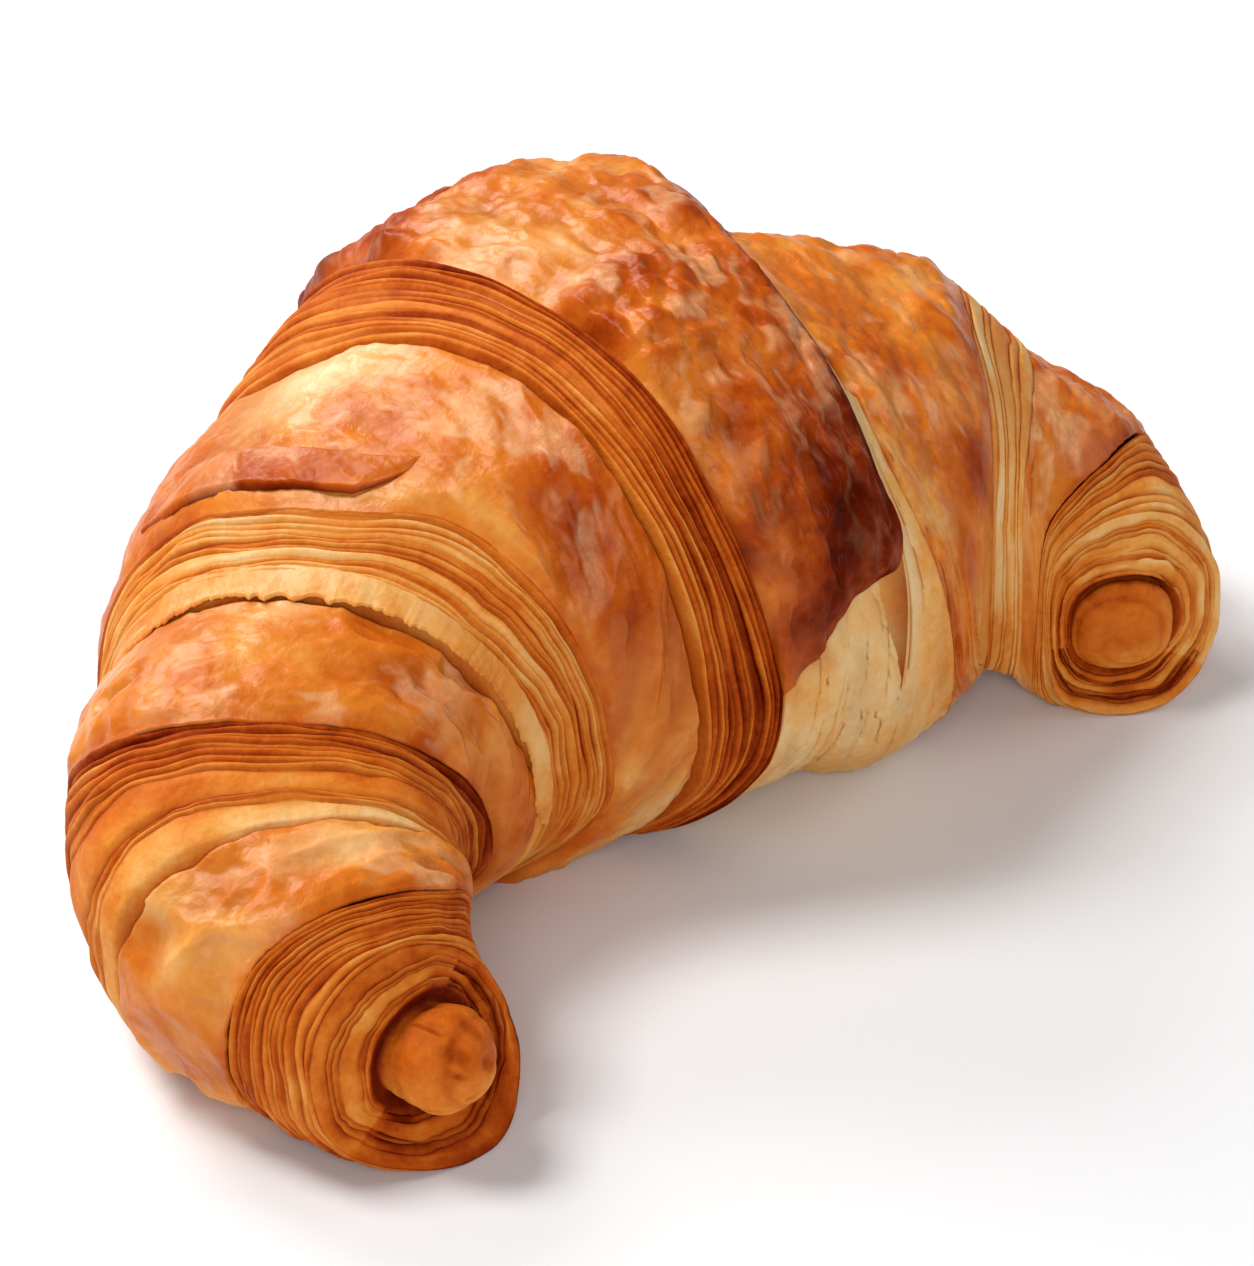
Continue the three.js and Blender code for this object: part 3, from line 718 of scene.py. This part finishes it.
# the points of a sheet and its bake, groove, glaze and bloom, at shares along it and angles round the roll
def shapeSheet(look, share, around):
    seed = look["seed"]
    sign = -1 if look["end"].startswith("l") else 1
    turn = np.radians(around)
    # the torn end of the sheet: long waves with short nicks; a loose flap narrows to nothing at both sides
    nicks = 0.65 * cloud(turn * 5, seed * 1.3, 0.5, 2) - 0.2
    nicks = nicks + 0.5 * np.abs(cloud(turn * 17, seed * 2.1, 0.5, 3))
    nicks = nicks + look["jagged"] * (np.abs(cloud(turn * 26, seed * 1.7, 0.5, 2)) - 0.3)
    start = edgeAt(look["start"], around) + look["startShift"]
    end = edgeAt(look["end"], around) + sign * look["endShift"]
    narrow = np.clip(np.abs(end - start) / 8, 0, 1)
    end = end + sign * look["ragged"] * nicks * narrow
    if look["taper"]:
        side = 1 - np.abs(np.interp(around, [look["from"], look["to"]], [-1, 1]))
        end = mix(start, end, np.clip(side / look["taper"], 0.02, 1) ** 0.5)
    station = mix(start, end, share)
    radius = mix(*look["radii"], share) + (1 - share) * trimAt(look["start"], around)
    radius = radius + share * trimAt(look["end"], around)
    arc = turn * radius
    wide = station * 0.9 + seed * 31.3
    height = mix(*look["lift"], softStep(share, 0, look["rise"])) + look["swell"] * archOver(share)
    # deeper where another sheet lies over it
    height = height - look["sunk"] * (1 - share) * (1 - softStep(around, 165, 190))
    height = height + look["lumps"] * cloud(wide / 13, arc / 16, seed, 2) * 0.7
    fade = softStep(share, 0, 0.07) * mix(1, 0.35, softStep(share, 0.93, 1))
    # wrinkles run round the roll, blisters stand up where the skin came loose, dimples where it stuck
    folds = 1 - np.abs(cloud(wide / look["fold"][0], arc / look["fold"][1], seed + 0.5, 3)) * 2
    streaks = cloud(wide / 1.3, arc / 16, seed + 11, 3)
    height = height + (look["wrinkle"] * folds + look["streak"] * streaks) * fade
    loose = softStep(cloud(wide / 15, arc / 15, seed + 4, 2), -0.35, 0.3)
    bent = 1.3 * cloud(wide / 4, arc / 4, seed + 6, 2)
    size = look["blisterSize"]
    blister = bumps(wide + bent, arc * 0.75 - bent, size, seed % 50, look["spread"])
    smaller = bumps(wide - bent, arc * 0.8 + bent, size * 0.5, (seed + 7) % 50, look["spread"])
    height = height + look["blister"] * (blister ** 0.8 + 0.45 * smaller) * loose * fade
    dimple = bumps(wide + 40 + bent, arc / look["dimpleLong"] + bent, look["dimpleSize"], (seed + 13) % 50)
    dimple = dimple * (1 - 0.75 * loose) * fade
    crinkle = 1 - np.abs(cloud(wide / 1.7 + bent, arc / 2.4, seed + 7.5, 3)) * 2
    height = height - look["dimple"] * dimple + look["crinkle"] * crinkle * fade
    # flatter towards the end, which curls up
    height = mix(height, look["lift"][1] * 0.2, 0.75 * softStep(share, 0.9, 1))
    height = height + look["curl"] * softStep(share, 0.86, 0.98)
    height = mix(np.minimum(height, 0.6), height, narrow)
    points = place(station, around, radius + height)
    # painted shade makes it darker in the crease along its start; paler low down
    startShade = (1 - softStep(share, 0.01, look["rise"])) * look["shade"]
    bake = look["bake"] + 0.19 * cloud(wide / 10, arc / 12, seed + 9, 4) - 0.16 * look["streak"] * streaks
    # browner and paler patches, partly real browning and partly painted light on the top and painted shade
    # low on the inner side
    for alongShare, angle, alongSize, angleSize, amount in look["patches"]:
        spot = np.exp(-((share - alongShare) / alongSize) ** 2 - ((around - angle) / angleSize) ** 2)
        bake = bake + amount * spot
    bake = bake + look["edgeBake"] * softStep(share, 0.9, 1)
    bake = bake + 0.15 * look["blister"] * (blister * loose - 0.3) + 0.1 * startShade
    bake = bake - 0.12 * softStep(around, 190, 225) - 0.08 * softStep(-around, 10, 50)
    # painted shade in the crease at its start, in the dimples and in the valleys of crinkles and wrinkles
    groove = 0.75 * startShade + 0.3 * dimple + 0.5 * look["crinkle"] * np.clip(0.6 - crinkle, 0, 1) * fade
    groove = groove + 0.5 * look["wrinkle"] * np.clip(0.5 - folds, 0, 1) * fade
    glaze = look["glaze"] * (0.75 + 0.35 * cloud(wide / 8, arc / 8, seed + 2, 2))
    # the painted sheen lies on top, in ripples: a painted highlight on the faces that look up
    top = np.clip(np.sin(turn - 0.25), 0, 1) ** 1.5 * (1 - 0.6 * softStep(around, 120, 165))
    ripple = 0.75 * cloud(wide / 1.9 + bent, arc / 3.4, seed + 15, 3)
    ripple = ripple + 0.7 * cloud(wide / 6, arc / 8, seed + 14, 2)
    bloom = look["bloom"] * top * softStep(ripple, 0, 0.5) * fade
    return points, {"bake": bake, "groove": groove, "glaze": glaze, "bloom": bloom}


# millimetres that a sheet stays above the table, before and after it gets its thickness
tableGap = {"sheet": 0.05, "shell": 0.04}


def makeSheet(name, own):
    look = {**plainSkin, **own}
    bpy.ops.mesh.primitive_grid_add(x_subdivisions=look["columns"], y_subdivisions=look["rows"], size=2)
    piece = bpy.context.object
    flat = np.empty(len(piece.data.vertices) * 3, np.float32)
    piece.data.vertices.foreach_get("co", flat)
    flat = (flat.reshape(-1, 3) + 1) / 2
    points, surface = shapeSheet(look, flat[:, 0], mix(look["from"], look["to"], flat[:, 1]))
    points[:, 2] = np.maximum(points[:, 2], tableGap["sheet"])
    piece.data.vertices.foreach_set("co", (points * mm).astype(np.float32).ravel())
    finishPiece(piece, name, surface, layerMaterial if look["material"] == "layer" else skinMaterial)
    # all faces look outwards, and the thickness goes inwards
    bpy.ops.object.mode_set(mode="EDIT")
    bpy.ops.mesh.select_all(action="SELECT")
    sample = piece.data.polygons[len(piece.data.polygons) // 2]
    if sample.normal.z <= 0:
        bpy.ops.mesh.flip_normals()
    bpy.ops.object.mode_set(mode="OBJECT")
    shell = piece.modifiers.new("thickness", "SOLIDIFY")
    shell.thickness = look["thickness"] * mm
    shell.offset = -1
    bpy.ops.object.modifier_apply(modifier=shell.name)
    for vertex in piece.data.vertices:
        vertex.co.z = max(vertex.co.z, tableGap["shell"] * mm)
    deselectAll()


for sheetName, sheetLook in sheets.items():
    makeSheet(sheetName, sheetLook)
print("skins made:", len(sheets))

# into the frame: the croissant's middle goes where the CAD's is
allPoints = np.concatenate([[v.co for v in piece.data.vertices] for piece in pieces])
middle = (allPoints.min(0) + allPoints.max(0)) / 2
shift = Vector(((cadLow.x + cadHigh.x) / 2 - middle[0], (cadLow.y + cadHigh.y) / 2 - middle[1], 0))
for piece in pieces:
    piece.data.transform(Matrix.Translation(shift))
    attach(piece, "root")
    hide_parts("croissant")
print("croissant placed, moved by", [round(c / mm, 2) for c in shift])

# camera above the left front, with a long lens; target, aside and up in millimetres
view = {"azimuth": -39.207, "elevation": 32.017, "distance": 0.7003, "lens": 176.3, "target": (0, -25, 25),
        "aside": -6.3, "up": 2.7}
azimuth, elevation = np.radians(view["azimuth"]), np.radians(view["elevation"])
back = Vector((np.sin(azimuth) * np.cos(elevation), -np.cos(azimuth) * np.cos(elevation), np.sin(elevation)))
aside = Vector((np.cos(azimuth), np.sin(azimuth), 0))
above = back.cross(aside)
target = (Vector(view["target"]) + aside * view["aside"] + above * view["up"]) * mm + shift
bpy.ops.object.camera_add(location=target + back * view["distance"])
camera = bpy.context.object
camera.rotation_euler = Matrix((aside, above, back)).transposed().to_euler()
camera.data.lens = view["lens"]
camera.data.sensor_width = 36
camera.data.sensor_fit = "AUTO"
bpy.context.scene.camera = camera

# pale floor
paper = {"size": 6, "colour": (0.86, 0.86, 0.86, 1), "roughness": 0.8}
bpy.ops.mesh.primitive_plane_add(size=paper["size"], location=(0, 0, 0))
floor = bpy.context.object
floor.name = "floor"
floorMaterial = bpy.data.materials.new("floorPaper")
floorMaterial.use_nodes = True
floorShader = floorMaterial.node_tree.nodes["Principled BSDF"]
floorShader.inputs["Base Color"].default_value = paper["colour"]
floorShader.inputs["Roughness"].default_value = paper["roughness"]
floor.data.materials.append(floorMaterial)

# soft studio light, in metres and watts
lamps = {
    "keyLamp": {"at": (-0.3, 0.3, 0.75), "size": 0.3, "power": 5.2},
    "backLamp": {"at": (0.02, 0.8, 0.6), "size": 0.4, "power": 5.5},
    "frontLamp": {"at": (-0.55, -0.75, 0.5), "size": 0.5, "power": 4.2},
    "sideLamp": {"at": (0.75, -0.3, 0.5), "size": 0.5, "power": 1.8},
}
for lampName, lamp in lamps.items():
    bpy.ops.object.light_add(type="AREA", location=lamp["at"])
    light = bpy.context.object
    light.name = lampName
    light.data.energy = lamp["power"]
    light.data.size = lamp["size"]
    light.rotation_euler = (-Vector(lamp["at"])).to_track_quat("-Z", "Y").to_euler()
sky = {"colour": (1, 1, 1, 1), "strength": 0.16}
world = bpy.data.worlds.new("studio")
bpy.context.scene.world = world
world.use_nodes = True
world.node_tree.nodes["Background"].inputs["Color"].default_value = sky["colour"]
world.node_tree.nodes["Background"].inputs["Strength"].default_value = sky["strength"]
bpy.context.scene.view_settings.view_transform = "Standard"
print("camera and lights set")
